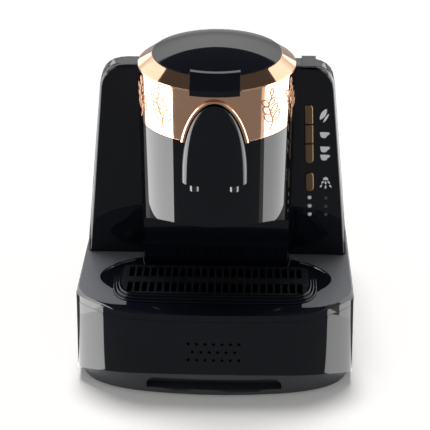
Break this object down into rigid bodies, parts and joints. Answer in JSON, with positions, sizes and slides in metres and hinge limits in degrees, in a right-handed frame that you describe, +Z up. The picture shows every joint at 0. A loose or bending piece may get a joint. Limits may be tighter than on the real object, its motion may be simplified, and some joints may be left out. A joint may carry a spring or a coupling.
{
  "type": "electric turkish coffee maker",
  "caption": "Counter-top electric turkish coffee maker: round brewing head with a hinged lid and pouring nozzles over a lift-out drip tray, rear water tank and push buttons.",
  "frame": {"origin": "on the table under the middle of the body", "axes": "+Z up, +X to the right as seen from the front, -Y towards the user"},
  "size_m": [0.269, 0.2839, 0.3288],
  "materials": {
    "gloss_black": "high gloss moulded ABS",
    "satin_black": "satin moulded plastic",
    "copper_plate": "polished rose copper plating",
    "bronze_plate": "satin bronze plating",
    "bright_chrome": "polished",
    "stainless": "brushed",
    "white_plastic": "plain moulded",
    "smoke_plastic": "dark smoked, glossy",
    "black_rubber": "matt",
    "silicone": "milky silicone",
    "circuit_board": "green solder mask"
  },
  "bodies": {
    "root": {"plinth": "satin_black", "foot_1": "black_rubber", "foot_2": "black_rubber", "foot_3": "black_rubber", "foot_4": "black_rubber", "base_housing": "gloss_black", "screw_1": "stainless", "screw_2": "stainless", "screw_3": "stainless", "screw_4": "stainless", "speaker": "satin_black", "power_board": "circuit_board", "cord_inlet": "black_rubber", "deck_cover": "gloss_black", "valve_seat": "white_plastic", "tower_housing": "gloss_black", "fascia_left": "gloss_black", "fascia_right": "gloss_black", "pump": "white_plastic", "feed_hose": "silicone", "riser_hose": "silicone", "lamp_lens_1": "white_plastic", "lamp_lens_2": "white_plastic", "lamp_lens_3": "white_plastic", "control_board": "circuit_board", "column_cover": "gloss_black", "brew_drum": "satin_black", "copper_band": "copper_plate", "bevel_ring": "copper_plate", "shield_bezel": "copper_plate", "nozzle_shield": "gloss_black", "nozzle_manifold": "satin_black", "nozzle_left": "bright_chrome", "nozzle_right": "bright_chrome", "spout_tube_left": "silicone", "spout_tube_right": "silicone", "brew_pot": "stainless", "pot_collar": "satin_black", "heater_plate": "stainless", "temperature_sensor": "stainless", "hinge_block": "satin_black", "hinge_pin": "stainless"},
    "brew_lid": {"lid_shell": "gloss_black", "lid_liner": "satin_black", "lid_seal": "black_rubber"},
    "drip_tray": {"drip_tray": "gloss_black"},
    "cup_grille": {"cup_grille": "gloss_black"},
    "water_tank": {"water_tank": "smoke_plastic", "tank_valve": "white_plastic", "tank_lid_pin": "stainless"},
    "tank_cap": {"tank_lid": "gloss_black", "tank_lid_tab": "satin_black"},
    "button_slow_brew": {"button_slow_brew": "bronze_plate"},
    "button_one_cup": {"button_one_cup": "bronze_plate"},
    "button_two_cups": {"button_two_cups": "bronze_plate"},
    "button_rinse": {"button_rinse": "bronze_plate"}
  },
  "joints": [
    {"name": "lid_hinge", "type": "hinge", "parent": "root", "child": "brew_lid", "pos_m": [0, 0.031, 0.3103], "axis": [-1, 0, 0], "range_deg": [0, 85]},
    {"name": "tray_lift", "type": "slide", "parent": "root", "child": "drip_tray", "axis": [0, 0, 1], "range_m": [0, 0.03]},
    {"name": "grille_lift", "type": "slide", "parent": "drip_tray", "child": "cup_grille", "axis": [0, 0, 1], "range_m": [0, 0.015]},
    {"name": "tank_lift", "type": "slide", "parent": "root", "child": "water_tank", "axis": [0, 0, 1], "range_m": [0, 0.08]},
    {"name": "tank_cap_hinge", "type": "hinge", "parent": "water_tank", "child": "tank_cap", "pos_m": [0, 0.118, 0.2355], "axis": [-1, 0, 0], "range_deg": [0, 70]},
    {"name": "slow_brew_push", "type": "slide", "parent": "root", "child": "button_slow_brew", "axis": [0, 1, 0], "range_m": [0, 0.0012], "stiffness_N_per_m": 500},
    {"name": "one_cup_push", "type": "slide", "parent": "root", "child": "button_one_cup", "axis": [0, 1, 0], "range_m": [0, 0.0012], "stiffness_N_per_m": 500},
    {"name": "two_cups_push", "type": "slide", "parent": "root", "child": "button_two_cups", "axis": [0, 1, 0], "range_m": [0, 0.0012], "stiffness_N_per_m": 500},
    {"name": "rinse_push", "type": "slide", "parent": "root", "child": "button_rinse", "axis": [0, 1, 0], "range_m": [0, 0.0012], "stiffness_N_per_m": 500}
  ]
}
